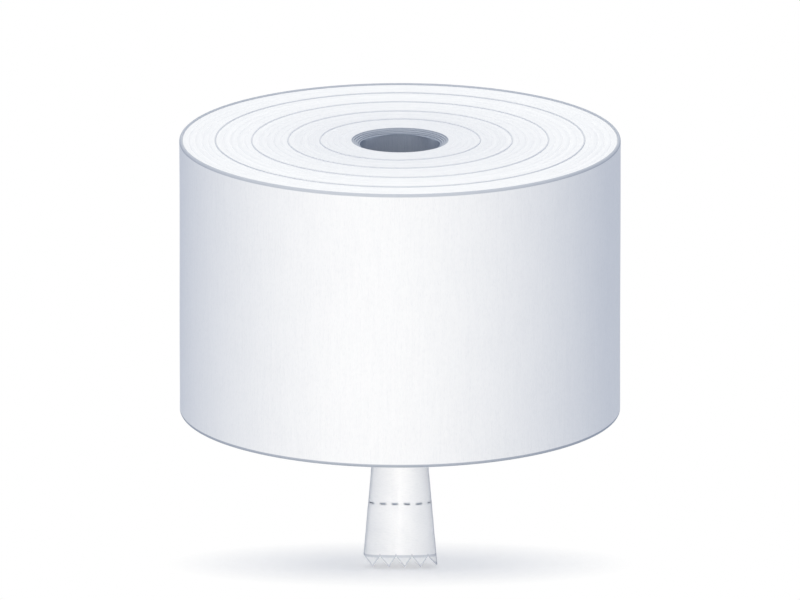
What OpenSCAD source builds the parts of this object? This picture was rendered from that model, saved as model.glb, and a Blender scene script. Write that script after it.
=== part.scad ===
// Centre-feed roll of two-ply toilet paper, hanging end out.
// One long web is wound on itself, and the core it was wound on has been drawn out. The inner end of
// the web is pulled down the bore, where it gathers into a loose scroll, and hangs out of the underside.
// It was torn off on a toothed bar, a little below one of its rows of perforation.
// Origin at the centre of the underside of the wound turns, +Z up, front towards -Y, millimetres.

/* [Wound turns] */
// Width of the web, which is the height of the wound turns
web_w = 134; // [120:1:160]
// Outside diameter of the wound turns
roll_d = 211; // [190:1:260]
// Diameter of the bore that the core left
bore_d = 38.4; // [34:0.1:45]
// Radius pressed on the outer edge of each end face
rim_r = 1.2; // [0.4:0.1:3]
// Where the outer end of the web lies, counted round from the right-hand side to the back
outer_end_angle = 105; // [20:1:160]
// How far the surface steps down past the outer end
outer_end_step = 0.4; // [0.2:0.05:0.8]

/* [Mouth of the bore] */
// Diameter across the loose turns that have slipped in from each end face
mouth_d = 46; // [45.4:0.1:60]
// How far the innermost of them has slipped in
mouth_drop = 2.2; // [0.5:0.1:5]
// Number of steps that the loose turns form
mouth_steps = 4; // [1:1:8]

/* [Rings on the end faces] */
// Rings of slack turns that are counted outwards from the mouth
inner_rings = 2; // [1:1:2]
// Distance from the mouth to the first of them, and between them
inner_ring_pitch = 15.3; // [8:0.05:18]
// Rings that are counted inwards from the outside
outer_rings = 2; // [1:1:2]
// Distance from the outside to the first of them, and between them
outer_ring_pitch = 17.3; // [8:0.05:18]
// Width of a ring's groove
ring_w = 0.9; // [0.4:0.1:2]
// Depth of a ring's groove
ring_depth = 0.5; // [0.2:0.1:1.5]
// Fine lines between turns in each field between two rings
turn_lines = 4; // [0:1:6]
// Width of a fine line
turn_line_w = 0.5; // [0.2:0.1:0.8]
// Depth of a fine line
turn_line_depth = 0.2; // [0.1:0.05:0.4]

/* [Hanging end] */
// Thickness of the two loose plies together
sheet_t = 0.4; // [0.25:0.05:0.6]
// Drop from the underside to the roots of the torn teeth
hang_drop = 71.8; // [60:0.1:150]
// Width of the gathered sheet at the underside
throat_w = 22.9; // [20:0.1:26]
// Depth of the gathered sheet at the underside, front to back
throat_depth = 16; // [14:0.1:22]
// Width of the gathered sheet at the roots of the torn teeth
torn_w = 35.5; // [28:0.1:45]
// Depth of the gathered sheet at the roots of the torn teeth
torn_depth = 10; // [8:0.1:18]
// Squareness of its section there: 2 is an ellipse, and more is flatter in front
torn_squareness = 2.8; // [2:0.1:4]
// Distance from one layer of the scroll to the next
layer_pitch = 1.2; // [0.9:0.05:1.4]
// Where the outer edge of the web lies, counted round from the right-hand side to the back
edge_angle = 60; // [30:1:110]
// How far each millimetre of web hangs back, outside the front of the scroll
hang_back = 0.15; // [0:0.01:0.2]

/* [Torn teeth and perforation] */
// Distance from one torn tooth to the next
tooth_pitch = 7.67; // [5:0.01:12]
// Depth of a torn tooth
tooth_depth = 5.5; // [2:0.1:8]
// Distance of the nearest tooth tip to the right of the middle of the front
tooth_shift = 2.27; // [0:0.01:3]
// Height of the perforation above the roots of the torn teeth
perf_up = 26.4; // [15:0.1:45]
// Length of a slit of the perforation
slit_l = 2.88; // [1.5:0.01:4]
// Length of the bond between two slits
bond_l = 2.88; // [1.5:0.01:4]
// Height that a slit has opened to
slit_h = 0.9; // [0.4:0.1:1.5]
// Distance of the nearest slit's middle to the left of the middle of the front
slit_shift = 2.05; // [0:0.01:3]

/* [Sheet inside the bore] */
// Height above the underside from which the sheet is still part of the innermost turn
join_h = 8; // [5:0.5:20]
// How far the sheet's upper edge starts below the upper end face
top_clear = 12; // [4:0.5:20]
// Height at which the upper edge ends, at the core of the scroll
inner_top = 32; // [20:1:60]
// Height over which the sheet gathers from the bore's wall to the throat
funnel_h = 60; // [40:1:90]
// Distance from the bore's wall to the outer layer, above the funnel
wall_gap = 2.2; // [1.5:0.1:3]
// How far round the outer layer comes away from the innermost turn
swing_angle = 22; // [15:1:35]

/* [Hidden] */
bore_r = bore_d / 2;
mouth_r = mouth_d / 2;
roll_r = roll_d / 2;
perf_z = perf_up - hang_drop;
// How deep the sheet's edge is buried in the innermost turn, where the two are one web
root_in = 0.5;
// Depth below the underside at which the outer edge has swung back into the scroll
swing_drop = 25;
// Depth below the underside from which the web hangs back in full
lag_drop = 20;
// Part of the depth over which the section turns from round to flat
flatten_part = 0.6;
// Two marks along the web nearer than this count as one
mark_gap = 0.3;
// Angle of one step of a walk along the scroll
walk_step = 6;
// Distance between the places across the web at which the marks of the teeth are looked for
probe_step = 0.5;
// Cross rows of the sheet: below the perforation, from there to the underside, and in the bore
low_rows = 4;
mid_rows = 6;
bore_rows = 9;
// How strongly the rows in the bore crowd towards the underside, where 1 is evenly spaced
row_crowding = 1.3;
// Straight pieces that the rounding of a rim is made of
arc_steps = 6;
// How far a cut runs past what it cuts
slack = 1;
paper = [0.95, 0.96, 0.98];

function mix(a, b, u) = a + (b - a) * u;
function ease(u) = let (v = max(0, min(1, u))) v * v * (3 - 2 * v);

// End faces of the wound turns. A profile point is [radius, depth below the face].
inner_ring_rs = [for (i = [1 : inner_rings]) mouth_r + i * inner_ring_pitch];
outer_ring_rs = [for (i = [outer_rings : -1 : 1]) roll_r - i * outer_ring_pitch];
ring_rs = concat(inner_ring_rs, outer_ring_rs);
field_rs = concat([mouth_r], ring_rs, [roll_r]);

function groove(r, w, depth) = [[r - w / 2, 0], [r, depth], [r + w / 2, 0]];
function step_edge(i) = mix(bore_r, mouth_r, i / mouth_steps);
function step_depth(i) = mouth_drop * (1 - i / mouth_steps);

mouth_profile = [for (i = [0 : mouth_steps - 1], end = [0, 1]) [step_edge(i + end), step_depth(i)]];
field_profile = [for (f = [0 : len(field_rs) - 2]) each concat(
    f == 0 ? [[mouth_r, 0]] : groove(field_rs[f], ring_w, ring_depth),
    [for (k = [1 : 1 : turn_lines]) each
        groove(mix(field_rs[f], field_rs[f + 1], k / (turn_lines + 1)), turn_line_w, turn_line_depth)])];
rim_profile = [for (i = [0 : arc_steps]) let (a = 90 * i / arc_steps)
    [roll_r - rim_r * (1 - sin(a)), rim_r * (1 - cos(a))]];
face_profile = concat(mouth_profile, field_profile, rim_profile);

module wound_turns() {
    last = len(face_profile) - 1;
    lower = [for (p = face_profile) [p[0], p[1]]];
    upper = [for (i = [last : -1 : 0]) [face_profile[i][0], web_w - face_profile[i][1]]];
    difference() {
        rotate_extrude($fn = 180) polygon(concat(lower, upper));
        // The flat past the outer end runs out into the turn below it
        rotate(outer_end_angle) translate([roll_r - outer_end_step, 0, -slack])
            cube([outer_end_step + slack, roll_r / 2, web_w + 2 * slack]);
    }
}

// Section of the gathered sheet at height z: half width, half depth and squareness
function half_w(z) = z < 0 ? mix(throat_w, torn_w, -z / hang_drop) / 2
    : mix(throat_w / 2, bore_r - wall_gap, ease(z / funnel_h));
function half_depth(z) = z < 0 ? mix(throat_depth, torn_depth, -z / hang_drop) / 2
    : mix(throat_depth / 2, bore_r - wall_gap, ease(z / funnel_h));
function squareness(z) = mix(2, torn_squareness, ease(-z / (hang_drop * flatten_part)));

// Share of the way out to the innermost turn at which the outer edge of the web runs
function swing(z) = ease((z + swing_drop) / (join_h + swing_drop));

// The scroll at height z, after a turn of t degrees inwards from the outer edge of the web
function scroll_at(t, z) = let (
    in = layer_pitch * t / 360,
    a = half_w(z),
    b = half_depth(z),
    n = squareness(z),
    c = cos(edge_angle - t),
    s = sin(edge_angle - t),
    square = pow(pow(abs(c), n) + pow(abs(s), n), -1 / n),
    out = (bore_r + root_in - norm([a * c, b * s]) * square) * swing(z) * exp(-t / swing_angle))
    [((a - in) * square + out) * c, ((b - in) * square + out) * s];

// The turn that a given length along the scroll makes, found by walking inwards from its outer edge
function walk(left, z, t, from) = let (to = scroll_at(t + walk_step, z), d = norm(to - from))
    d >= left ? t + walk_step * left / d : walk(left - d, z, t + walk_step, to);
function turn_at(along, z) = walk(along, z, 0, scroll_at(0, z));

// Length along the scroll from its outer edge to the middle of its front
function front_along(z) = let (end = edge_angle + 90, n = ceil(end / walk_step))
    sum([for (i = [1 : n]) norm(scroll_at(end * i / n, z) - scroll_at(end * (i - 1) / n, z))]);
function sum(v, i = 0) = i == len(v) ? 0 : v[i] + sum(v, i + 1);

torn_front = front_along(-hang_drop);
slit_mid = front_along(perf_z) + slit_shift;
slit_pitch = slit_l + bond_l;

// How many teeth to the right of the tip nearest the middle the bar met each place across the web. All
// layers were torn at once, so their teeth lie in line behind each other.
function on_bar(along) = (scroll_at(turn_at(along, -hang_drop), -hang_drop)[0] - tooth_shift) / tooth_pitch;

// 0 at the root of a torn tooth and 1 at its tip
function tooth(along) = let (u = on_bar(along)) 2 * abs(u - floor(u) - 0.5);
function in_slit(along) = let (u = (along - slit_mid) / slit_pitch)
    abs(u - round(u)) * slit_pitch < slit_l / 2;

// Marks along the web at which a tooth turns or a slit starts or ends, in order
function marks(first, pitch) = let (
    from = ceil((mark_gap - first) / pitch),
    to = floor((web_w - mark_gap - first) / pitch))
    [for (k = [from : to]) first + k * pitch];
function apart(v) = [for (i = [0 : len(v) - 1]) if (i == 0 || v[i] - v[i - 1] > mark_gap) v[i]];
function clear_of(v, from) = [for (x = v) if (min([for (y = from) abs(x - y)]) > mark_gap) x];
function sorted(v) = len(v) < 2 ? v : let (pivot = v[floor(len(v) / 2)]) concat(
    sorted([for (x = v) if (x < pivot) x]), [pivot], sorted([for (x = v) if (x > pivot) x]));

probes = [mark_gap : probe_step : web_w - mark_gap];
half_teeth = [for (along = probes) 2 * on_bar(along)];
tooth_marks = apart([for (i = [0 : len(half_teeth) - 2]) let (
    a = half_teeth[i],
    b = half_teeth[i + 1],
    mark = max(floor(a), floor(b)))
    if (floor(a) != floor(b)) mark_gap + probe_step * (i + (mark - a) / (b - a))]);
slit_marks = concat(marks(slit_mid - slit_l / 2, slit_pitch), marks(slit_mid + slit_l / 2, slit_pitch));
columns = concat([0], sorted(concat(tooth_marks, clear_of(slit_marks, tooth_marks))), [web_w]);

// The rows of the sheet run up from the torn edge. The web outside the front of the scroll hangs back.
slit_row = low_rows;
exit_row = low_rows + 1 + mid_rows;
last_row = exit_row + bore_rows;
front_half = torn_w / 2;
function lag(along) = hang_back * max(0, abs(along - torn_front) - front_half);
function upper_edge(along) = mix(web_w - top_clear, inner_top, along / web_w);
function level(row) = row <= slit_row ? mix(-hang_drop, perf_z - slit_h / 2, row / low_rows)
    : mix(perf_z + slit_h / 2, 0, (row - slit_row - 1) / mid_rows);
function sheet_z(along, row) = row > exit_row
    ? upper_edge(along) * pow((row - exit_row) / bore_rows, row_crowding)
    : level(row) + lag(along) * ease(-level(row) / lag_drop) - (row == 0 ? tooth_depth * tooth(along) : 0);

module hanging_sheet() {
    n = len(columns);
    side = n * (last_row + 1);
    // Below the underside the web keeps its width. In the bore each column stays at its own angle.
    mid = [for (row = [0 : last_row]) [for (along = columns) let (
        z = sheet_z(along, row),
        p = scroll_at(turn_at(along, min(z, 0)), z))
        [p[0], p[1], z]]];
    // Both faces lie half the thickness from the middle of the sheet, square to its run
    points = [for (face = [-1, 1], row = [0 : last_row], i = [0 : n - 1]) let (
        run = mid[row][min(i + 1, n - 1)] - mid[row][max(i - 1, 0)],
        out = [-run[1], run[0], 0] / norm([run[0], run[1]]))
        mid[row][i] + out * face * sheet_t / 2];
    function has(i, row) = i >= 0 && i < n - 1 && row >= 0 && row < last_row
        && !(row == slit_row && in_slit((columns[i] + columns[i + 1]) / 2));
    function at(i, row) = row * n + i;
    // An edge of the sheet from one corner to the next, closed by a wall from face to face
    function wall(a, b) = [[a, b, b + side], [a, b + side, a + side]];
    faces = [for (row = [0 : last_row - 1], i = [0 : n - 2]) if (has(i, row)) each concat(
        [[at(i, row), at(i + 1, row + 1), at(i + 1, row)], [at(i, row), at(i, row + 1), at(i + 1, row + 1)],
         [at(i, row) + side, at(i + 1, row) + side, at(i + 1, row + 1) + side],
         [at(i, row) + side, at(i + 1, row + 1) + side, at(i, row + 1) + side]],
        has(i, row - 1) ? [] : wall(at(i, row), at(i + 1, row)),
        has(i, row + 1) ? [] : wall(at(i + 1, row + 1), at(i, row + 1)),
        has(i - 1, row) ? [] : wall(at(i, row + 1), at(i, row)),
        has(i + 1, row) ? [] : wall(at(i + 1, row), at(i + 1, row + 1)))];
    polyhedron(points, faces, convexity = 10);
}

// The wound turns and the hanging end are one web, so they are one solid
module paper_roll() {
    color(paper) {
        wound_turns();
        hanging_sheet();
    }
}

paper_roll();
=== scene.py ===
import math

import bpy
import numpy as np
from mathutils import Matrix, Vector


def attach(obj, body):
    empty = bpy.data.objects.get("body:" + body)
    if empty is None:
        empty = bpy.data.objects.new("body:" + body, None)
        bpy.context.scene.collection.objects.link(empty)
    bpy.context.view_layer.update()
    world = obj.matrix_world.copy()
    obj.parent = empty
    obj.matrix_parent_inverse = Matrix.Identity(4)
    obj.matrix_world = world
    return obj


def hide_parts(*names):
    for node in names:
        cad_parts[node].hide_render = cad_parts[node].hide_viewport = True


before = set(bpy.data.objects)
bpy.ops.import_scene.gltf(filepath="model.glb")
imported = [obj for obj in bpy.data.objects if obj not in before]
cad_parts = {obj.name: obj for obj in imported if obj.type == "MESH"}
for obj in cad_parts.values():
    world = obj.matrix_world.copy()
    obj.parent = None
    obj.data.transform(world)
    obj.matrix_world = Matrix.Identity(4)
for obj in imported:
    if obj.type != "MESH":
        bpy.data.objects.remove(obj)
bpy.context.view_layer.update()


# Camera. It looks down on the roll by 15 degrees from far off, through so long a lens that the roll's
# sides stand upright and its two ends look equally wide. The whole picture is 383 mm across where the
# roll hangs.
LOOKS_DOWN = math.radians(15.08)
PICTURE_WIDTH = 0.383
LOOKS_AT = Vector((0, 0, 0.0544))
LENS, SENSOR_WIDTH = 1200, 36

camera = bpy.data.objects.new("camera", bpy.data.cameras.new("camera"))
bpy.context.scene.collection.objects.link(camera)
bpy.context.scene.camera = camera
camera.data.lens, camera.data.sensor_width = LENS, SENSOR_WIDTH
camera_distance = PICTURE_WIDTH * LENS / SENSOR_WIDTH
towards_camera = Vector((0, -math.cos(LOOKS_DOWN), math.sin(LOOKS_DOWN)))
camera.location = LOOKS_AT + towards_camera * camera_distance
camera.rotation_euler = (math.pi / 2 - LOOKS_DOWN, 0, 0)
camera.data.clip_start, camera.data.clip_end = 0.1, 60


# Wound turns. One web of two-ply tissue, about 570 turns of it, is wound tight on a core that is then
# drawn out. Turns that slipped show as four rings, which stand proud above and are grooves below. The
# outermost turns stand proud above too, and the rewinder's guides press their edges round.
MM = 0.001
WEB_WIDTH = 134.0
ROLL_RADIUS = 105.5
BORE_RADIUS = 19.2
MOUTH_RADIUS = 23.0
MOUTH_DROP = 2.2
MOUTH_STEPS = 4
RIM_RADIUS = 1.2
RIM_WALL = 0.2
RIM_RISE = 0.5
FACE_DROP = 0.35
RING_RADII = (38.3, 53.6, 70.9, 88.2)
RING_WIDTH = 0.9
RING_DEPTH = 0.5
RING_RISE = 0.5
LINES_PER_FIELD = 4
LINE_WIDTH = 0.5
LINE_DEPTH = 0.2
OUTER_END_ANGLE = 105.0
OUTER_END_STEP = 0.4
STEPS_ROUND = 264
FIELD_STEP, CLEAR_OF_MARKS = 1.9, 0.55

# Places across the edge of a loose turn, as shares of its width, and how far down its corners are worn
LOOSE_TURN_EDGE = ((0.0, 0.1), (0.12, 0.0), (0.5, 0.0), (0.88, 0.0), (1.0, 0.06))

# How far the turns have slipped or lie out of round: on the end faces, at the mouth, on side and bore wall
FACE_WANDER, FACE_SLIP, FACE_SLOW_SLIP, LOOSE_SLIP = 0.14, 0.10, 0.07, 0.32
SIDE_SWELL, SIDE_FINE_SWELL, BORE_SWELL = 0.10, 0.02, 0.14

# How strongly painted shade greys each place, from 0 to 1: the rings of slack turns, the fine lines, the
# rims, the mouth and its deepest lip, and the bore
RING_GREYS = (0.24, 0.25, 0.32, 0.41)
LINE_GREY = 0.05
UPPER_RIM_GREY = 0.62
LOWER_RIM_GREY = 0.8
MOUTH_GREY = 0.77
DEEPEST_TURNS_GREY = 0.88
LIP_GREY, LIP_REACH = 1.0, 0.6
BORE_GREY = 0.93


def ease(u):
    """Goes smoothly from 0 to 1 as u does: three times u squared less twice u cubed, held at both ends."""
    v = np.clip(u, 0, 1)
    return v * v * (3 - 2 * v)


def mix(a, b, u):
    """The value that lies a share u of the way from a to b."""
    return a + (b - a) * u


def ripple(angle, length, waves, seed):
    """A soft unevenness, about 0.7 in root mean square: a sum of sine waves, over the root of their number.
    Waves gives the fewest and the most times that one runs round the angle, how many there are, and their
    fastest rate along the length. The seed picks them, so each run is alike."""
    fewest, most, count, fastest = waves
    chance = np.random.default_rng(seed)
    total = 0
    for _ in range(count):
        times_round = chance.integers(fewest, most + 1)
        rate_along, start = chance.uniform(-1, 1) * fastest, chance.uniform(0, 2 * math.pi)
        total = total + np.sin(times_round * angle + rate_along * length + start)
    return total / math.sqrt(count)


def distance_from(middles, places):
    """For each place, how far it is from the nearest of these middles."""
    return np.min(np.abs(places[:, None] - np.array(middles)[None, :]), axis=1)


def groove(middles, width, radii):
    """1 in the middle of a ring's groove and 0 outside it: the square of a cosine."""
    return np.cos(np.pi / 2 * np.clip(distance_from(middles, radii) / (width / 2), 0, 1)) ** 2


def end_face_profile(upper):
    """Radius, depth below the web's edge and greyness along an end face, from the bore to the side. The
    loose turns at the mouth are terraces, each a share of the drop deeper. On the upper face the fields have
    sunk, so the rings and the rim stand above them, with steep walls. On the lower one the rings are
    grooves, and so are the fine lines on both. The rim is a quarter circle. The greyness is painted shade in
    the rings, the fine lines and the rim, and darkest in the mouth, where the lip of the deepest terrace is
    the greyest."""
    sunk, rise = (FACE_DROP, RIM_RISE) if upper else (0.0, 0.0)
    radii, depths, greys = [], [], []
    tread = (MOUTH_RADIUS - BORE_RADIUS) / MOUTH_STEPS
    for step in range(MOUTH_STEPS):
        depth = sunk + MOUTH_DROP * (1 - step / MOUTH_STEPS)
        for place, worn_down in LOOSE_TURN_EDGE:
            radii.append(BORE_RADIUS + tread * (step + place))
            depths.append(depth + worn_down)
            step_grey = mix(DEEPEST_TURNS_GREY, MOUTH_GREY, step / (MOUTH_STEPS - 1))
            greys.append(mix(LIP_GREY, step_grey, min(1.0, (step + place) / LIP_REACH)))

    edges = (MOUTH_RADIUS, *RING_RADII, ROLL_RADIUS - RIM_RADIUS)
    lines = [mix(edges[f], edges[f + 1], k / (LINES_PER_FIELD + 1))
             for f in range(len(edges) - 1) for k in range(1, LINES_PER_FIELD + 1)]
    ring_places = RING_WIDTH / 2 * np.array([-1.6, -1.1, -0.8, -0.5, 0, 0.5, 0.8, 1.1, 1.6])
    line_places = LINE_WIDTH / 2 * np.array([-1.2, 0, 1.2])
    marked = np.concatenate([
        np.add.outer(RING_RADII, ring_places).ravel(), np.add.outer(lines, line_places).ravel(),
        MOUTH_RADIUS + np.array([0.05, 0.35]), edges[-1] - np.array([2.0, 1.3, 0.7, RIM_WALL])])
    plain = np.arange(MOUTH_RADIUS + 0.9, edges[-1] - 2.2, FIELD_STEP)
    clear = plain[distance_from(marked, plain) > CLEAR_OF_MARKS]
    field = np.sort(np.concatenate([marked, clear]))

    fine = groove(lines, LINE_WIDTH * 1.2, field)
    if upper:
        from_ring = distance_from(RING_RADII, field) / (RING_WIDTH / 2)
        rings = -RING_RISE * (1 - ease((from_ring - 0.5) / 0.3))
        ring_shade = 1 - ease((from_ring - 0.8) / 0.3)
    else:
        rings = RING_DEPTH * groove(RING_RADII, RING_WIDTH * 1.3, field)
        ring_shade = groove(RING_RADII, RING_WIDTH * 2.4, field)
    rim_line = ease((field - (edges[-1] - 0.7)) / 0.4)
    mouth_line = 1 - ease((field - MOUTH_RADIUS) / 0.4)
    radii.extend(field)
    depths.extend(sunk + rings + LINE_DEPTH * fine + 0.1 * mouth_line)
    # Painted shade in the rings, the fine lines, the rim and the mouth's edge
    greys.extend(np.maximum.reduce([
        np.interp(field, RING_RADII, RING_GREYS) * ring_shade,
        LINE_GREY * fine, rim_line, MOUTH_GREY * mouth_line]))
    for turn in np.linspace(0, math.pi / 2, 8):
        radii.append(ROLL_RADIUS - RIM_RADIUS * (1 - math.sin(turn)))
        depths.append(RIM_RADIUS * (1 - math.cos(turn)) - rise)
        greys.append(1.0)
    return np.array(radii), np.array(depths), np.array(greys)


def wound_turns_surface():
    """A closed profile, carried once round the axis: lower end face outwards, side upwards, upper end face
    inwards, bore wall downwards. The end faces rise and fall by a tenth or two of a millimetre as the
    turns have slipped, and the side and the bore wall are as little out of round."""
    lower_radii, lower_depths, lower_greys = end_face_profile(upper=False)
    upper_radii, upper_depths, upper_greys = (part[::-1] for part in end_face_profile(upper=True))
    side_heights = np.concatenate([
        [1.45, 1.8], np.linspace(3.2, WEB_WIDTH - 3.2, 44),
        WEB_WIDTH + RIM_RISE - RIM_RADIUS - np.array([0.65, 0.3])])
    bore_heights = np.linspace(WEB_WIDTH - 3.8, 3.5, 26)
    side, bore = np.ones(len(side_heights)), np.ones(len(bore_heights))
    radii = np.concatenate([lower_radii, side * ROLL_RADIUS, upper_radii, bore * BORE_RADIUS])
    heights = np.concatenate([lower_depths, side_heights, WEB_WIDTH - upper_depths, bore_heights])
    on_face = np.concatenate([np.ones(len(lower_radii)), side * 0, np.ones(len(upper_radii)), bore * 0])
    on_side = (radii > ROLL_RADIUS - 1e-6) & (on_face == 0)
    on_bore = (radii < BORE_RADIUS + 1e-6) & (on_face == 0)
    upper = heights > WEB_WIDTH / 2

    # Painted shade: the bore, the mouth, the rings and the rims are greyed in the colour, and the side's
    # lowest strip under the rounded lower rim fully so
    grey = np.concatenate([lower_greys, side * 0, upper_greys, bore * BORE_GREY])
    grey = np.where(on_side & (heights < 1.6), 1.0, grey)
    near_rim = radii > ROLL_RADIUS - 4
    grey = np.where(near_rim, grey * np.where(upper, UPPER_RIM_GREY, LOWER_RIM_GREY), grey)

    plain_angles = np.linspace(0, 2 * math.pi, STEPS_ROUND, endpoint=False)
    end = math.radians(OUTER_END_ANGLE)
    past = math.acos((ROLL_RADIUS - OUTER_END_STEP) / ROLL_RADIUS)
    extra = end + np.array([-0.004, -0.0001, 0.0001, past * 0.5, past])
    kept = plain_angles[np.min(np.abs(plain_angles[:, None] - extra[None, :]), axis=1) > 0.006]
    angles = np.sort(np.concatenate([kept, extra]))

    a, r, z = angles[:, None], radii[None, :], heights[None, :]
    # The flat past the web's outer end runs out into the turn below it
    beyond = (a > end) & (a < end + past)
    run_out = (ROLL_RADIUS - OUTER_END_STEP) / np.cos(np.where(beyond, a - end, 0))
    flat = np.where(beyond, run_out, ROLL_RADIUS)
    outline = np.minimum(r, flat)
    field = on_face * ease((r - MOUTH_RADIUS) / 6) * ease((ROLL_RADIUS - 1.5 - r) / 6)
    wander = FACE_WANDER * ripple(a, 0.11 * r, (1, 5, 6, 1.0), 3) * field
    slip = FACE_SLIP * ripple(a, r, (0, 3, 10, 0.9), 11)
    slip = (slip + FACE_SLOW_SLIP * ripple(a, r, (0, 5, 10, 0.35), 12)) * field
    loose = on_face * (1 - ease((r - BORE_RADIUS) / (MOUTH_RADIUS - BORE_RADIUS)))
    slip = slip + LOOSE_SLIP * loose * ripple(a, r, (1, 4, 6, 2.4), 13)
    soft_side = SIDE_SWELL * ripple(a, z, (2, 9, 12, 0.06), 21)
    soft_side = soft_side + SIDE_FINE_SWELL * ripple(a, z, (18, 60, 12, 0.05), 22)
    soft_side = on_side * soft_side * ease((z - 1.4) / 8) * ease((WEB_WIDTH - 1.4 - z) / 8)
    soft_bore = on_bore * BORE_SWELL * ripple(a, z, (3, 14, 12, 0.12), 23)
    radius = outline + wander + soft_side + soft_bore
    height = z + np.where(upper, -1, 1) * slip
    points = np.stack([radius * np.cos(a), radius * np.sin(a), height + 0 * a], axis=-1)
    return points, np.broadcast_to(grey, points.shape[:2]), np.broadcast_to(on_face, points.shape[:2])


def closed_grid_faces(rows, columns):
    """Four-cornered faces of a grid that runs back into itself both ways, turned outwards."""
    row, column = np.meshgrid(np.arange(rows), np.arange(columns), indexing="ij")
    next_row, next_column = (row + 1) % rows, (column + 1) % columns
    corners = [row * columns + column, next_row * columns + column,
               next_row * columns + next_column, row * columns + next_column]
    return np.stack(corners, axis=-1).reshape(-1, 4)


def piece_from(name, points, faces, amounts, sharp_angle):
    """A piece whose corners are given in millimetres. Each named amount is one number for each corner."""
    mesh = bpy.data.meshes.new(name)
    mesh.from_pydata((points.reshape(-1, 3) * MM).tolist(), [], faces.tolist())
    for amount, values in amounts.items():
        attribute = mesh.attributes.new(amount, "FLOAT", "POINT")
        attribute.data.foreach_set("value", np.ascontiguousarray(values, dtype=np.float32).ravel())
    mesh.shade_smooth()
    mesh.set_sharp_from_angle(angle=math.radians(sharp_angle))
    piece = bpy.data.objects.new(name, mesh)
    bpy.context.scene.collection.objects.link(piece)
    return piece


class Amount:
    """A number that varies over a finish, on which sums are written: each adds a Math node."""

    def __init__(self, finish, socket):
        self.finish, self.socket = finish, socket

    def sum_of(self, operation, *terms):
        return self.finish.node("ShaderNodeMath", {"operation": operation}, dict(enumerate(terms)))

    def __add__(self, other):
        return self.sum_of("ADD", self, other)

    def __sub__(self, other):
        return self.sum_of("SUBTRACT", self, other)

    def __rsub__(self, other):
        return self.sum_of("SUBTRACT", other, self)

    def __mul__(self, other):
        return self.sum_of("MULTIPLY", self, other)

    def __truediv__(self, other):
        return self.sum_of("DIVIDE", self, other)

    def __abs__(self):
        return self.sum_of("ABSOLUTE", self)

    def most(self, other):
        return self.sum_of("MAXIMUM", self, other)

    def least(self, other):
        return self.sum_of("MINIMUM", self, other)

    def between(self, low, high):
        """0 where this is low and 1 where it is high, and smooth from one to the other."""
        return self.finish.node("ShaderNodeMapRange", {"interpolation_type": "SMOOTHSTEP"},
                                {0: self, 1: low, 2: high, 3: 0.0, 4: 1.0})

    __radd__, __rmul__ = __add__, __mul__


class Finish:
    """A material that is put together node by node."""

    def __init__(self, name):
        self.material = bpy.data.materials.new(name)
        self.material.use_nodes = True
        self.tree = self.material.node_tree
        self.tree.nodes.clear()

    def node(self, kind, settings=None, sockets=None, result=0):
        """Adds a node, makes its settings first, then gives its sockets their values or links."""
        made = self.tree.nodes.new(kind)
        for setting, value in (settings or {}).items():
            setattr(made, setting, value)
        for socket, value in (sockets or {}).items():
            if isinstance(value, Amount):
                self.tree.links.new(value.socket, made.inputs[socket])
            else:
                made.inputs[socket].default_value = value
        return Amount(self, made.outputs[result]) if made.outputs else made

    def place(self):
        return self.node("ShaderNodeTexCoord", result="Object")

    def amount(self, name):
        return self.node("ShaderNodeAttribute", {"attribute_name": name}, result="Fac")

    def scaled(self, vector, scale):
        return self.node("ShaderNodeVectorMath", {"operation": "MULTIPLY"}, {0: vector, 1: scale})

    def shifted(self, vector, shift):
        return self.node("ShaderNodeVectorMath", {"operation": "ADD"}, {0: vector, 1: shift})

    def length(self, vector):
        return self.node("ShaderNodeVectorMath", {"operation": "LENGTH"}, {0: vector}, result="Value")

    def parts(self, vector):
        split = self.node("ShaderNodeSeparateXYZ", {}, {0: vector})
        return [Amount(self, output) for output in split.socket.node.outputs]

    def speckle(self, vector, scale, detail=2.0, roughness=0.5):
        """Noise from 0 to 1, with about this many grains to the metre."""
        return self.node("ShaderNodeTexNoise", {}, {
            "Vector": vector, "Scale": scale, "Detail": detail, "Roughness": roughness})

    def rings(self, radius, scale, detail):
        """Noise that varies with the distance from the axis alone."""
        return self.node("ShaderNodeTexNoise", {"noise_dimensions": "1D"}, {
            "W": radius, "Scale": scale, "Detail": detail})

    def tint(self, share, plain, tinted):
        """The plain colour where the share is 0 and the tinted one where it is 1."""
        return self.node("ShaderNodeMix", {"data_type": "RGBA"}, {0: share, 6: plain, 7: tinted}, result=2)

    def relief(self, height, depth, below=None):
        """A small relief of this depth in metres, laid over the one below it."""
        sockets = {"Height": height, "Distance": depth, "Strength": 1.0}
        if below is not None:
            sockets["Normal"] = below
        return self.node("ShaderNodeBump", {}, sockets)

    def surface(self, colour, roughness, normal):
        paper = self.node("ShaderNodeBsdfPrincipled", {}, {
            "Base Color": colour, "Roughness": roughness, "Normal": normal, "Specular IOR Level": 0.2})
        self.node("ShaderNodeOutputMaterial", {}, {"Surface": paper})
        return self.material


TISSUE_WHITE = (0.93, 0.935, 0.945, 1)
# A blue-grey used both for the tissue's random tone and for painted shade
TONE_AND_SHADE_GREY = (0.30, 0.345, 0.43, 1)
INNER_TURNS_WHITE = (0.845, 0.855, 0.88, 1)
INNER_TURNS_FROM, INNER_TURNS_TO = 0.024, 0.092
PAPER_ROUGHNESS, FIBRE_ROUGHNESS = 0.9, 0.08

# Grains to the metre in each pattern of the tissue, and how deep its reliefs are in metres
FIBRE_GRAINS, CREPE_GRAINS, CREASE_GRAINS, CLOUD_GRAINS = 2600, 3400, 1100, 55
TURN_GRAINS, BAND_GRAINS, TURN_EDGE_GRAINS = 1500, 320, 4500
FIBRE_RELIEF, CREPE_RELIEF, TURN_RELIEF = 0.00002, 0.00006, 0.00007

# Radius in metres of the small circle round which the pattern of the turns' edges changes with the angle
TURN_EDGE_CIRCLE = 0.0022


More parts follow.
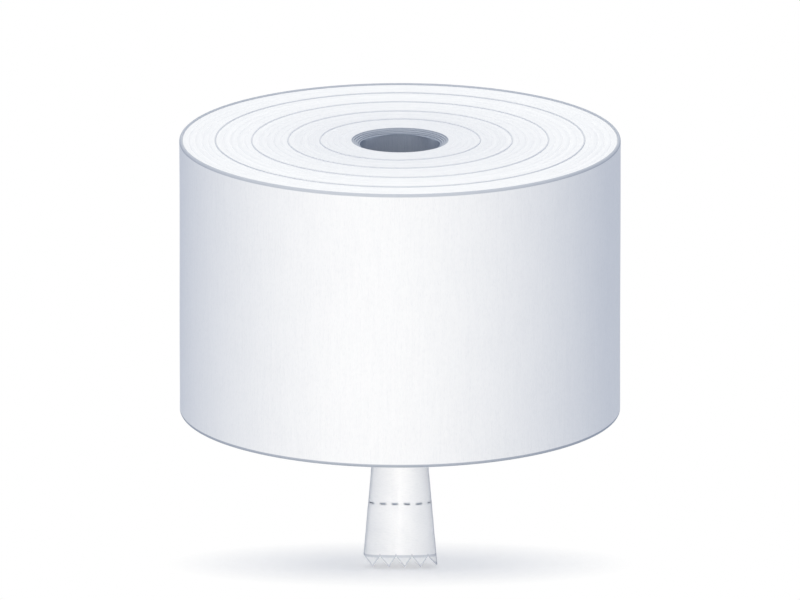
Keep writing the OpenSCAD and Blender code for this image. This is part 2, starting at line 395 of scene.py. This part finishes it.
def wound_tissue():
    """Matt white creped tissue. Wound up, it shows its crepe on the side as fine upright lines, and the
    edges of its turns on the end faces as fine rings. Painted shade greys the rims, the rings of slack
    turns, the mouth and the bore, and the end faces are a little darker towards the mouth."""
    finish = Finish("wound_tissue")
    place = finish.place()
    radius = finish.length(finish.scaled(place, (1, 1, 0)))
    on_face, grey = finish.amount("end_face"), finish.amount("grey")
    round_axis = finish.node("ShaderNodeVectorMath", {"operation": "NORMALIZE"}, {
        0: finish.scaled(place, (1, 1, 0))})
    right, back = finish.parts(round_axis)[:2]
    turn_place = finish.node("ShaderNodeCombineXYZ", {}, {
        "X": right * TURN_EDGE_CIRCLE, "Y": back * TURN_EDGE_CIRCLE, "Z": radius})
    turns, bands = finish.rings(radius, TURN_GRAINS, 3.0), finish.rings(radius, BAND_GRAINS, 2.0)
    turn_edges = finish.speckle(turn_place, TURN_EDGE_GRAINS, 2.0, 0.6)
    creases = finish.speckle(finish.scaled(place, (1, 1, 0.05)), CREASE_GRAINS, 3.0, 0.6)
    crepe = finish.speckle(finish.scaled(place, (1, 1, 0.14)), CREPE_GRAINS, 2.0, 0.6)
    fibres = finish.speckle(place, FIBRE_GRAINS, 2.0, 0.6)
    clouds = finish.speckle(place, CLOUD_GRAINS, 2.0, 0.5)
    coarse = finish.relief(turns * on_face + creases * (1 - on_face), TURN_RELIEF)
    fine = turn_edges * on_face + crepe * (1 - on_face)
    normal = finish.relief(fibres, FIBRE_RELIEF, finish.relief(fine, CREPE_RELIEF, coarse))
    # The end faces are a little darker towards the mouth
    inner = (1 - radius.between(INNER_TURNS_FROM, INNER_TURNS_TO)) * on_face
    colour = finish.tint(inner, TISSUE_WHITE, INNER_TURNS_WHITE)
    unevenness = (bands * on_face + creases * (1 - on_face)) * 0.7 + clouds * 0.3
    shade = unevenness.between(0.35, 0.75) * 0.05 + fine.between(0.45, 0.7) * 0.07
    colour = finish.tint(shade, colour, TONE_AND_SHADE_GREY)
    streaks = unevenness.between(0.35, 0.75) * 0.10 + fine.between(0.4, 0.7) * 0.06
    # Painted shade from the grey amount, broken by streaks
    colour = finish.tint(grey * (1 - streaks), colour, TONE_AND_SHADE_GREY)
    return finish.surface(colour, PAPER_ROUGHNESS + fibres * FIBRE_ROUGHNESS, normal)


points, grey, on_face = wound_turns_surface()
faces = closed_grid_faces(*points.shape[:2])
wound_turns = piece_from("wound_turns", points, faces, {"grey": grey, "end_face": on_face}, 40)
wound_turns.data.materials.append(wound_tissue())
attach(wound_turns, "root")
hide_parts("paper_roll")


# Hanging end. The inner end of the same web, which comes away from the bore's wall, gathers into a loose
# scroll on its way down and hangs out of the underside. It has a row of perforation slits, and was torn
# off on a toothed bar.
HANG_DROP = 71.8
SHEET_THICKNESS = 0.4
THROAT_WIDTH, THROAT_DEPTH = 22.9, 16.0
TORN_WIDTH, TORN_DEPTH, TORN_SQUARENESS = 35.5, 10.0, 2.8
HANGS_LEFT = 0.35
LAYER_PITCH = 1.2
EDGE_ANGLE = 60.0
HANG_BACK = 0.15
TOOTH_PITCH, TOOTH_DEPTH, TOOTH_SHIFT = 7.67, 5.5, 2.27
PERFORATION_HEIGHT = 26.4 - HANG_DROP
SLIT_LENGTH, BOND_LENGTH, SLIT_HEIGHT, SLIT_SHIFT = 2.88, 2.88, 0.95, 2.05
JOIN_HEIGHT, TOP_CLEAR, INNER_TOP, FUNNEL_HEIGHT = 8.0, 12.0, 32.0, 60.0
WALL_GAP, SWING_ANGLE, SWING_DROP, ROOT_IN = 2.2, 22.0, 25.0, 0.5
LAG_DROP, FLATTEN_PART = 20.0, 0.6
BOND_GAP = 0.1
FOLD_REACH, SHUT_AT_FOLD = 7.0, 0.75
# Painted shade that grows towards the scroll's folds, a painted darker line along the left fold and a
# painted lighter one along the right
FOLD_SHADE, LEFT_FOLD_LINE_GREY, RIGHT_FOLD_LINE_GREY = 0.36, 0.13, -0.10
FOLD_LINE_FROM, FOLD_LINE_WIDTH = 0.91, 0.05
# Painted shade on the layers inside the scroll, seen through the slits and at the torn edge
INNER_LAYER_SHADE = (0.65, 0.72, 0.85, 1)
INNER_LAYER_FROM, INNER_LAYER_RAMP = 360.0, 30.0
# The torn edge and a line along the roots of the teeth are grey; the teeth, the lips of the slits and the
# web in the bore are greyed with painted shade
TEAR_GREY, ROOT_LINE_GREY, TEETH_GREY, SLIT_LIPS_GREY = 0.55, 0.52, 0.28, 0.25
LOOSE_CREASE_GRAINS, LOOSE_CREASE_RELIEF, LOOSE_CLOUD_GRAINS = 1300, 0.00008, 90
STRAIGHT_PART_OF_LIPS = 0.35
PLEATS_LOW, PLEATS_AT_THROAT, PLEATS_GROW_BY, CRUMPLE = 0.12, 0.30, 1.6, 0.035

# Between which distances in metres each of those greys starts and ends
TEAR_FADE, ROOT_LINE_FADE, TEETH_FADE = (0.0008, 0.0018), (0.0005, 0.0008), (-0.0002, 0.0002)
LIPS_FADE, BORE_FADE = (0.0006, 0.0012), (0.0, 0.05)

# How finely the web is walked and cut up: degrees of turn, counts of places, and lengths across the web
MOST_TURN, LAST_FOLD_TURN, WALK_PLACES = 1500, 1000, 151
PROBES, EDGE_CLEAR, CLEAR_OF_SLIT, COLUMN_SPACING = 6000, 0.3, 0.12, 0.72
FRAY, FRAY_PLACES = 0.22, 260
TOOTH_ROWS_UP_TO, ROW_CROWDING = 5.0, 1.3


def scroll_section(turn, height):
    """Where the web is, seen from above, after so many degrees inwards from its outer edge. It runs round a
    section that goes from an ellipse to a flatter form with fuller corners as it hangs, and each full turn
    lies one layer further in. Near the underside the outer edge swings out to the bore's wall."""
    hanging = height < 0
    fall, rise = np.clip(-height / HANG_DROP, 0, None), ease(height / FUNNEL_HEIGHT)
    widest = BORE_RADIUS - WALL_GAP
    wide = np.where(hanging, mix(THROAT_WIDTH, TORN_WIDTH, fall) / 2, mix(THROAT_WIDTH / 2, widest, rise))
    deep = np.where(hanging, mix(THROAT_DEPTH, TORN_DEPTH, fall) / 2, mix(THROAT_DEPTH / 2, widest, rise))
    power = mix(2.0, TORN_SQUARENESS, ease(-height / (HANG_DROP * FLATTEN_PART)))
    inwards = LAYER_PITCH * turn / 360
    angle = np.radians(EDGE_ANGLE - turn)
    right, back = np.cos(angle), np.sin(angle)
    square = (np.abs(right) ** power + np.abs(back) ** power) ** (-1 / power)
    swing = ease((height + SWING_DROP) / (JOIN_HEIGHT + SWING_DROP))
    to_wall = BORE_RADIUS + ROOT_IN - np.hypot(wide * right, deep * back) * square
    outwards = to_wall * swing * np.exp(-turn / SWING_ANGLE)
    x = ((wide - inwards) * square + outwards) * right - HANGS_LEFT * ease(-height / LAG_DROP)
    y = ((deep - inwards) * square + outwards) * back
    return np.stack([x, y], axis=-1)


def length_to(turns, height):
    """Length of web from its outer edge to each of these turns, all at one height."""
    steps = np.diff(scroll_section(turns, height), axis=0)
    return np.concatenate([[0], np.cumsum(np.hypot(steps[:, 0], steps[:, 1]))])


def length_to_front(height):
    """Length of web from its outer edge to the middle of the scroll's front."""
    return length_to(np.linspace(0, EDGE_ANGLE + 90, WALK_PLACES), height)[-1]


torn_front = length_to_front(-HANG_DROP)
turns = np.linspace(0, MOST_TURN, 2 * MOST_TURN + 1)
torn_lengths = length_to(turns, -HANG_DROP)
slit_middle = length_to_front(PERFORATION_HEIGHT) + SLIT_SHIFT
slit_pitch = SLIT_LENGTH + BOND_LENGTH
folds = [length_to(np.linspace(0, turn, WALK_PLACES), PERFORATION_HEIGHT)[-1]
         for turn in np.arange(EDGE_ANGLE, LAST_FOLD_TURN, 180)]


def teeth_along_bar(along):
    """How many teeth to the right of the tip nearest the middle the bar met each place across the web. All
    layers were torn at once, so their teeth lie in line behind each other."""
    on_bar = scroll_section(np.interp(along, torn_lengths, turns), -HANG_DROP)[:, 0]
    return (on_bar + HANGS_LEFT - TOOTH_SHIFT) / TOOTH_PITCH


def web_columns(spacing):
    """Places across the web, from its outer edge: the tips and roots of the teeth, the ends of the slits
    and a place just inside each, and even steps between those marks."""
    def marks(first, pitch):
        lowest = math.ceil((EDGE_CLEAR - first) / pitch)
        highest = math.floor((WEB_WIDTH - EDGE_CLEAR - first) / pitch)
        return first + pitch * np.arange(lowest, highest + 1)

    probes = np.linspace(EDGE_CLEAR, WEB_WIDTH - EDGE_CLEAR, PROBES)
    teeth = probes[np.nonzero(np.diff(np.floor(teeth_along_bar(probes) * 2)))[0]]
    slits = np.concatenate([
        marks(slit_middle + place * SLIT_LENGTH / 2, slit_pitch) for place in (-1, -0.8, 0.8, 1)])
    teeth = teeth[distance_from(slits, teeth) > CLEAR_OF_SLIT]
    fixed = np.sort(np.concatenate([[0, WEB_WIDTH], teeth, slits]))
    runs = [np.linspace(a, b, max(1, round((b - a) / spacing)), endpoint=False)
            for a, b in zip(fixed[:-1], fixed[1:])]
    return np.concatenate([*runs, [WEB_WIDTH]])


def tooth_share(along):
    """1 at the tip of a torn tooth and 0 at its root."""
    u = teeth_along_bar(along)
    return 2 * np.abs(u - np.floor(u) - 0.5)


def slit_offset(along):
    """Distance from the nearest slit's middle, in half slits."""
    u = (along - slit_middle) / slit_pitch
    return np.abs(u - np.round(u)) * slit_pitch / (SLIT_LENGTH / 2)


def hanging_end_surface():
    """Rows run up from the torn edge. A row's height is its level, less the share of a tooth at the torn
    edge, plus what the web hangs back outside the front of the scroll. In the bore the rows spread up to
    the slanting line along which the web leaves the wall. A slit stands open by a rounded lens, less so on
    a fold. The two faces lie half the thickness out. Painted shade grows towards the folds, with a painted
    darker line along the left one and a painted lighter line along the right one."""
    along = web_columns(COLUMN_SPACING)
    chance = np.random.default_rng(41)
    fray = np.interp(along, np.linspace(0, WEB_WIDTH, FRAY_PLACES), chance.uniform(-FRAY, FRAY, FRAY_PLACES))
    lag = HANG_BACK * np.maximum(0, np.abs(along - torn_front) - TORN_WIDTH / 2)
    shut = SHUT_AT_FOLD * (1 - ease(distance_from(folds, along) / FOLD_REACH))
    open_by = np.sqrt(np.clip(1 - slit_offset(along) ** 4, 0, 1)) * SLIT_HEIGHT * (1 - shut)
    half_open = np.maximum(open_by, BOND_GAP) / 2

    tooth_rows, low_rows, mid_rows, bore_rows = 8, 24, 52, 60
    tooth_top = -HANG_DROP + TOOTH_ROWS_UP_TO
    torn = -HANG_DROP - TOOTH_DEPTH * tooth_share(along) + fray
    below, above = PERFORATION_HEIGHT - half_open, PERFORATION_HEIGHT + half_open
    levels = np.concatenate([
        mix(torn[None, :], tooth_top, np.linspace(0, 1, tooth_rows, endpoint=False)[:, None]),
        mix(tooth_top, below[None, :], np.linspace(0, 1, low_rows)[:, None]),
        mix(above[None, :], 0, np.linspace(0, 1, mid_rows)[:, None])])
    slit_row = tooth_rows + low_rows - 1
    level_lag = lag[None, :] * ease(-levels / LAG_DROP)
    upper_edge = mix(WEB_WIDTH - TOP_CLEAR, INNER_TOP, along / WEB_WIDTH)
    bore = upper_edge[None, :] * (np.arange(1, bore_rows + 1) / bore_rows)[:, None] ** ROW_CROWDING
    z = np.concatenate([levels + level_lag, bore])
    web_length = np.concatenate([levels, bore])

    heights = np.linspace(-HANG_DROP - TOOTH_DEPTH - 1, 0, 90)
    turn_table = np.array([np.interp(along, length_to(turns, h), turns) for h in heights])
    place = np.clip((np.minimum(z, 0) - heights[0]) / (heights[1] - heights[0]), 0, len(heights) - 1.001)
    below_row = place.astype(int)
    column = np.broadcast_to(np.arange(len(along)), z.shape)
    turn = mix(turn_table[below_row, column], turn_table[below_row + 1, column], place - below_row)
    middle = scroll_section(turn, z)

    run = np.gradient(middle, axis=1)
    out = np.stack([-run[..., 1], run[..., 0]], axis=-1) / np.linalg.norm(run, axis=-1)[..., None]
    around = np.arctan2(middle[..., 1], middle[..., 0])
    gather = mix(PLEATS_LOW, PLEATS_AT_THROAT, ease((z + 60) / 60)) * mix(1, PLEATS_GROW_BY, ease(z / 50))
    free = 1 - np.exp(-turn / 30) * ease((z + 20) / 20)
    pleats = ripple(around, z, (4, 9, 6, 0.05), 51) * 0.7 + ripple(around, z, (8, 15, 6, 0.22), 52) * 0.3
    crumple = CRUMPLE * ripple(around * 0 + along[None, :] / 9.0, z, (1, 9, 14, 1.6), 53)
    middle = middle + out * (gather * free * pleats + crumple)[..., None]
    sides = [np.concatenate([middle + out * side * SHEET_THICKNESS / 2, z[..., None]], axis=-1)
             for side in (-1, 1)]
    present = np.ones((z.shape[0] - 1, z.shape[1] - 1), bool)
    present[slit_row] = slit_offset((along[:-1] + along[1:]) / 2) > 1
    half_width = np.where(z < 0, mix(THROAT_WIDTH, TORN_WIDTH, -z / HANG_DROP) / 2 - 0.5, BORE_RADIUS)
    outwards = np.clip(np.abs(middle[..., 0]) / half_width, 0, 1)
    # Painted shade towards the folds, darker along the left fold line and lighter along the right
    line_grey = np.where(middle[..., 0] < 0, LEFT_FOLD_LINE_GREY, RIGHT_FOLD_LINE_GREY)
    fold_shade = FOLD_SHADE * outwards + line_grey * ease((outwards - FOLD_LINE_FROM) / FOLD_LINE_WIDTH)
    fold_shade = fold_shade * ease((z + HANG_DROP) / 0.8 + 1)
    amounts = {
        "fold_shade": fold_shade,
        "inner_layer": ease((turn - INNER_LAYER_FROM) / INNER_LAYER_RAMP),
        "above_tear": (web_length - torn) * MM}
    both_sides = {name: np.stack([values, values]) for name, values in amounts.items()}
    return np.stack(sides), present, np.broadcast_to(along, z.shape), web_length, both_sides


def sheet_faces(present):
    """Faces of a sheet with two sides: a cell that is present has a face on each side, and every edge of
    it that borders on nothing is closed by a wall."""
    rows, columns = present.shape[0] + 1, present.shape[1] + 1
    side = rows * columns
    row, column = np.nonzero(present)
    corner = row * columns + column
    near = np.stack([corner, corner + columns, corner + columns + 1, corner + 1], axis=-1)
    far = near[:, ::-1] + side
    ringed = np.pad(present, 1)
    parts = [near, far]
    for row_step, column_step, first, second in (
            (-1, 0, 0, 1), (1, 0, columns + 1, columns), (0, -1, columns, 0), (0, 1, 1, columns + 1)):
        bare = ~ringed[row + 1 + row_step, column + 1 + column_step]
        a, b = corner[bare] + first, corner[bare] + second
        parts.append(np.stack([a, b, b + side, a + side], axis=-1))
    return np.concatenate(parts)


def hanging_tissue():
    """The same tissue, loose. Its crepe lies across the web, so here its lines are level. The torn edge and
    a line along the roots of the teeth are grey. Painted shade greys the web towards its folds, the thin
    teeth below that line and the lips of the slits, makes the layers inside the scroll blue-grey, and
    darkens the web up into the bore."""
    finish = Finish("hanging_tissue")
    place = finish.place()
    height = finish.parts(place)[2]
    across, down = finish.parts(finish.node("ShaderNodeUVMap", {"uv_map": "web"}))[:2]
    creases = finish.speckle(finish.scaled(place, (0.12, 0.12, 1)), LOOSE_CREASE_GRAINS, 3.0, 0.6)
    crepe = finish.speckle(finish.scaled(place, (0.16, 0.16, 1)), CREPE_GRAINS, 2.0, 0.6)
    fibres = finish.speckle(place, FIBRE_GRAINS, 2.0, 0.6)
    clouds = finish.speckle(place, LOOSE_CLOUD_GRAINS, 2.0, 0.5)
    coarse = finish.relief(creases, LOOSE_CREASE_RELIEF)
    normal = finish.relief(fibres, FIBRE_RELIEF, finish.relief(crepe, CREPE_RELIEF, coarse))
    tear = 1 - finish.amount("above_tear").between(*TEAR_FADE)
    thin = 1 - (down + HANG_DROP * MM).between(*TEETH_FADE)
    # A grey line along the roots of the teeth
    root_line = 1 - abs(down + HANG_DROP * MM).between(*ROOT_LINE_FADE)
    slit_place = (across - slit_middle * MM) / (slit_pitch * MM)
    slit = abs(slit_place - finish.node("ShaderNodeMath", {"operation": "ROUND"}, {0: slit_place}))
    past_middle = (slit * (slit_pitch * MM) - SLIT_LENGTH * MM * STRAIGHT_PART_OF_LIPS).most(0.0)
    off_slit = finish.node("ShaderNodeCombineXYZ", {}, {
        "X": past_middle, "Y": down - PERFORATION_HEIGHT * MM})
    lips = 1 - finish.length(off_slit).between(*LIPS_FADE)
    in_bore = height.between(*BORE_FADE)
    shade = clouds.between(0.35, 0.75) * 0.05 + crepe.between(0.45, 0.7) * 0.07
    # Painted shade on the layers inside the scroll
    colour = finish.tint(finish.amount("inner_layer"), TISSUE_WHITE, INNER_LAYER_SHADE)
    colour = finish.tint(shade, colour, TONE_AND_SHADE_GREY)
    # Painted shade towards the folds
    colour = finish.tint(finish.amount("fold_shade"), colour, TONE_AND_SHADE_GREY)
    # Painted shade on the teeth, round the slits and up into the bore; the torn edge and the root line are
    # grey
    marks = (tear * TEAR_GREY).most(root_line * ROOT_LINE_GREY).most(thin * TEETH_GREY)
    marks = marks.most(lips * SLIT_LIPS_GREY).most(in_bore * BORE_GREY)
    colour = finish.tint(marks, colour, TONE_AND_SHADE_GREY)
    return finish.surface(colour, PAPER_ROUGHNESS + fibres * FIBRE_ROUGHNESS, normal)


points, present, along, web_length, amounts = hanging_end_surface()
faces = sheet_faces(present)
hanging_end = piece_from("hanging_end", points, faces, amounts, 50)
web_map = hanging_end.data.uv_layers.new(name="web")
corner_points = np.empty(len(hanging_end.data.loops), dtype=np.int64)
hanging_end.data.loops.foreach_get("vertex_index", corner_points)
web_places = np.tile(np.stack([along, web_length], axis=-1).reshape(-1, 2) * MM, (2, 1))
web_map.data.foreach_set("uv", web_places[corner_points].astype(np.float32).ravel())
hanging_end.data.materials.append(hanging_tissue())
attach(hanging_end, "root")
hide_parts("paper_roll")


# Floor. A wide plain white ground just below the torn end. Where it is seen, straight or in a gloss, its
# own light is added to what it returns, so it is white where nothing shades it and keeps the soft shadow.
FLOOR_HEIGHT = -0.0780
FLOOR_HALF = 30.0
SHADED_PART = 0.875
MOST_SHADED = 0.6
LIGHT_ON_GROUND = 0.92
SHADOW_HALF_WIDTH, SHADOW_HALF_DEPTH = 0.113, 0.0415
SHADOW_BACK = 0.0044

floor_mesh = bpy.data.meshes.new("floor")
floor_corners = [(x * FLOOR_HALF, y * FLOOR_HALF, FLOOR_HEIGHT)
                 for x, y in ((-1, -1), (1, -1), (1, 1), (-1, 1))]
floor_mesh.from_pydata(floor_corners, [], [(0, 1, 2, 3)])
floor = bpy.data.objects.new("floor", floor_mesh)
bpy.context.scene.collection.objects.link(floor)


def white_ground():
    """White ground. Where it is seen, it is part returned light and part its own, and only its own far out.
    The returned part grows from nothing at the rim of the ellipse in which the shadow falls to its most
    near the middle."""
    finish = Finish("white_ground")
    off_middle = finish.shifted(finish.place(), (0, -SHADOW_BACK, 0))
    to_ellipse = (1 / SHADOW_HALF_WIDTH, 1 / SHADOW_HALF_DEPTH, 0)
    distance = finish.length(finish.scaled(off_middle, to_ellipse))
    shaded = ((1 - distance).most(0.0) * SHADED_PART).least(MOST_SHADED)
    grey = finish.tint(shaded, (0, 0, 0, 1), (1, 1, 1, 1))
    returned = finish.node("ShaderNodeBsdfDiffuse", {}, {"Color": grey})
    own = finish.node("ShaderNodeEmission", {}, {
        "Color": (1, 1, 1, 1), "Strength": 1 - shaded * LIGHT_ON_GROUND})
    shown = finish.node("ShaderNodeAddShader", {}, {0: returned, 1: own})
    plain = finish.node("ShaderNodeBsdfDiffuse", {}, {"Color": (0.8, 0.8, 0.8, 1)})
    ray = finish.node("ShaderNodeLightPath").socket.node.outputs
    seen = Amount(finish, ray["Is Camera Ray"])
    seen = seen.most(Amount(finish, ray["Is Glossy Ray"])).most(Amount(finish, ray["Is Transmission Ray"]))
    both = finish.node("ShaderNodeMixShader", {}, {0: seen, 1: plain, 2: shown})
    finish.node("ShaderNodeOutputMaterial", {}, {"Surface": both})
    return finish.material


floor_mesh.materials.append(white_ground())


# Studio light. A cool even light comes from all round. A warm upright strip in front and a weaker one
# behind stand near the roll, so that their light falls off round its side. A fill on the left, a long box
# overhead and two small boxes on the hanging end complete it.
SKY_BLUE, SKY_STRENGTH = (0.749, 0.827, 1.0, 1), 0.668
world = bpy.data.worlds.new("studio")
bpy.context.scene.world = world
world.use_nodes = True
sky = world.node_tree
sky.nodes.clear()
around = sky.nodes.new("ShaderNodeBackground")
around.inputs["Color"].default_value = SKY_BLUE
around.inputs["Strength"].default_value = SKY_STRENGTH
backdrop = sky.nodes.new("ShaderNodeBackground")
backdrop.inputs["Color"].default_value = (1, 1, 1, 1)
path = sky.nodes.new("ShaderNodeLightPath")
chosen = sky.nodes.new("ShaderNodeMixShader")
world_output = sky.nodes.new("ShaderNodeOutputWorld")
seen = path.outputs["Is Camera Ray"]
for other_ray in ("Is Glossy Ray", "Is Transmission Ray"):
    either = sky.nodes.new("ShaderNodeMath")
    either.operation = "MAXIMUM"
    sky.links.new(seen, either.inputs[0])
    sky.links.new(path.outputs[other_ray], either.inputs[1])
    seen = either.outputs[0]
sky.links.new(seen, chosen.inputs[0])
sky.links.new(around.outputs[0], chosen.inputs[1])
sky.links.new(backdrop.outputs[0], chosen.inputs[2])
sky.links.new(chosen.outputs[0], world_output.inputs["Surface"])


def soft_box(name, place, aim, size, power, colour):
    """A soft box of this width and height in metres, which faces its aim and isn't seen itself."""
    lamp = bpy.data.lights.new(name, "AREA")
    lamp.shape = "RECTANGLE"
    lamp.size, lamp.size_y = size
    lamp.energy = power
    lamp.color = colour
    box = bpy.data.objects.new(name, lamp)
    bpy.context.scene.collection.objects.link(box)
    box.location = place
    box.rotation_mode = "QUATERNION"
    box.rotation_quaternion = (Vector(place) - Vector(aim)).to_track_quat("Z", "Y")
    box.visible_camera = False
    return box


FRONT_ANGLE = math.radians(-7)
STRIP_DISTANCE = 0.40
STRIP_SIZE = (0.06, 1.3)
WARM = (1.0, 0.914, 0.745)
STRIP_AIM = (0, 0, 0.03)
LOW_SIZE, LOW_WARM = (0.03, 0.3), (1.0, 0.95, 0.85)
strip_x, strip_y = math.sin(FRONT_ANGLE) * STRIP_DISTANCE, -math.cos(FRONT_ANGLE) * STRIP_DISTANCE
front_strip = soft_box(
    "front_strip", place=(strip_x, strip_y, 0.03), aim=STRIP_AIM, size=STRIP_SIZE, power=1.12, colour=WARM)
back_strip = soft_box(
    "back_strip", place=(-strip_x, -strip_y, 0.03), aim=STRIP_AIM, size=STRIP_SIZE, power=0.95, colour=WARM)
left_fill = soft_box(
    "left_fill", place=(-1.2, -0.2, 0.06), aim=(0, 0, 0.06), size=(0.8, 1.0), power=0.556,
    colour=(1.0, 0.973, 0.912))
low_front = soft_box(
    "low_front", place=(-0.01, -0.14, -0.045), aim=(0, 0, -0.045), size=LOW_SIZE, power=0.135,
    colour=LOW_WARM)
low_back = soft_box(
    "low_back", place=(0.01, 0.14, -0.03), aim=(0, 0, -0.03), size=LOW_SIZE, power=0.08, colour=LOW_WARM)
overhead = soft_box(
    "overhead", place=(0, 0, 1.4), aim=(0, 0, 0), size=(0.3, 2.4), power=9.6, colour=(1.0, 0.928, 0.735))


def lights_only(lamps, name, lit):
    """These lamps light only these pieces, and nothing else shades their light."""
    group = bpy.data.collections.new(name)
    for piece in lit:
        group.objects.link(piece)
    for lamp in lamps:
        lamp.light_linking.receiver_collection = group
        lamp.light_linking.blocker_collection = group


lights_only((front_strip, back_strip, left_fill), "whole_roll", (wound_turns, hanging_end))
lights_only((low_front, low_back), "hanging_end_alone", (hanging_end,))

bpy.context.scene.view_settings.view_transform = "Standard"
